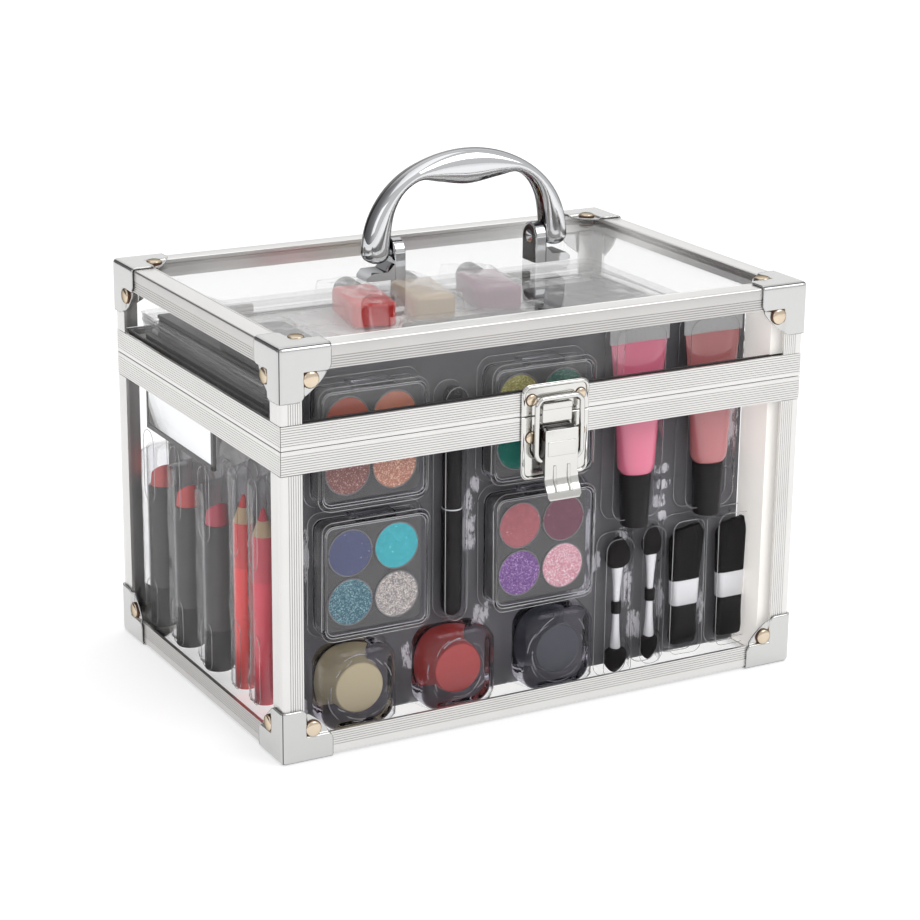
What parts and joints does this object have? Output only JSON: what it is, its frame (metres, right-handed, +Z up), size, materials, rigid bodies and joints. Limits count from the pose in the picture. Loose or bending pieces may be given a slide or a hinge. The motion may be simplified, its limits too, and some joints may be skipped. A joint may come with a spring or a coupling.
{
  "type": "makeup train case",
  "caption": "Clear-panelled vanity case in ribbed aluminium rails, with corner guards, a hinged lid, a folding handle, a toggle latch and trays of cosmetics inside.",
  "frame": {"origin": "centre of the overall box at the plane the case stands on", "axes": "+Z up; +X to the right as the latch is faced, along the case's length; -Y towards the latch side, with the hinges on the +Y side"},
  "size_m": [0.2422, 0.179, 0.2168],
  "materials": {
    "rails": "satin anodised, fine ribs along the length",
    "guards": "pressed sheet, smooth nickel plating",
    "latch": "bright nickel plating",
    "hinges": "bright nickel plating",
    "handle": "mirror-bright chrome plating on a casting",
    "panels": "clear acrylic sheet, polished",
    "rivets": "warm nickel over brass, domed",
    "grey_card": "dark grey printed card and tray",
    "cream_card": "pale uncoated card",
    "blister": "clear thermoformed sheet",
    "black_plastic": "moulded, glossy black",
    "silver_plastic": "vacuum-metallised ferrules and stems",
    "powder": "pressed eyeshadow powder, matt or shimmering",
    "pot_cream": "waxy cream in a clear pot",
    "lip_gloss": "soft squeeze tubes in pinks",
    "lipstick": "wax bullets in reds",
    "pencil": "lacquered pencil bodies",
    "wood": "sharpened pencil cones",
    "bristle": "brush hair and sponge tips",
    "nail_polish": "bottles of nail polish",
    "mirror": "silvered plate in a dark frame"
  },
  "bodies": {
    "base": {"base_bottom_rail_front": "rails", "base_bottom_rail_right": "rails", "base_bottom_rail_back": "rails", "base_bottom_rail_left": "rails", "base_band_front": "rails", "base_band_right": "rails", "base_band_back": "rails", "base_band_left": "rails", "base_post_front_left": "rails", "base_post_front_right": "rails", "base_post_back_right": "rails", "base_post_back_left": "rails", "base_guard_front_left": "guards", "base_guard_front_right": "guards", "base_guard_back_right": "guards", "base_guard_back_left": "guards", "base_front_panel": "panels", "base_right_panel": "panels", "base_back_panel": "panels", "base_left_panel": "panels", "base_bottom_panel": "panels", "latch_plate": "latch", "hinge_left_base_leaf": "hinges", "hinge_right_base_leaf": "hinges", "front_tray": "grey_card", "left_tray": "grey_card", "top_tray": "grey_card", "mirror": "mirror"},
    "lid": {"lid_top_rail_front": "rails", "lid_top_rail_right": "rails", "lid_top_rail_back": "rails", "lid_top_rail_left": "rails", "lid_band_front": "rails", "lid_band_right": "rails", "lid_band_back": "rails", "lid_band_left": "rails", "lid_post_front_left": "rails", "lid_post_front_right": "rails", "lid_post_back_right": "rails", "lid_post_back_left": "rails", "lid_guard_front_left": "guards", "lid_guard_front_right": "guards", "lid_guard_back_right": "guards", "lid_guard_back_left": "guards", "lid_front_panel": "panels", "lid_right_panel": "panels", "lid_back_panel": "panels", "lid_left_panel": "panels", "lid_top_panel": "panels", "lid_liner": "grey_card", "latch_keeper": "latch", "hinge_left_lid_leaf": "hinges", "hinge_right_lid_leaf": "hinges", "handle_bracket_left": "handle", "handle_bracket_right": "handle"},
    "handle": {"handle_grip": "handle"},
    "latch_lever": {"latch_lever": "latch"},
    "latch_bail": {"latch_bail": "latch"}
  },
  "joints": [
    {"name": "lid_hinge", "type": "hinge", "parent": "base", "child": "lid", "pos_m": [0, 0.0872, 0.1275], "axis": [-1, 0, 0], "range_deg": [0, 100]},
    {"name": "handle_pivot", "type": "hinge", "parent": "lid", "child": "handle", "pos_m": [0.0095, 0.0113, 0.1764], "axis": [-1, 0, 0], "range_deg": [-85, 85]},
    {"name": "latch_lever_pivot", "type": "hinge", "parent": "base", "child": "latch_lever", "pos_m": [0, -0.0832, 0.121], "axis": [-1, 0, 0], "range_deg": [0, 110]},
    {"name": "latch_bail_pivot", "type": "hinge", "parent": "latch_lever", "child": "latch_bail", "pos_m": [0, -0.0839, 0.1096], "axis": [-1, 0, 0], "range_deg": [-137.5, 0]}
  ],
  "couplings": [
    {"joint": "latch_bail_pivot", "follows": "latch_lever_pivot", "ratio": -1.25}
  ]
}
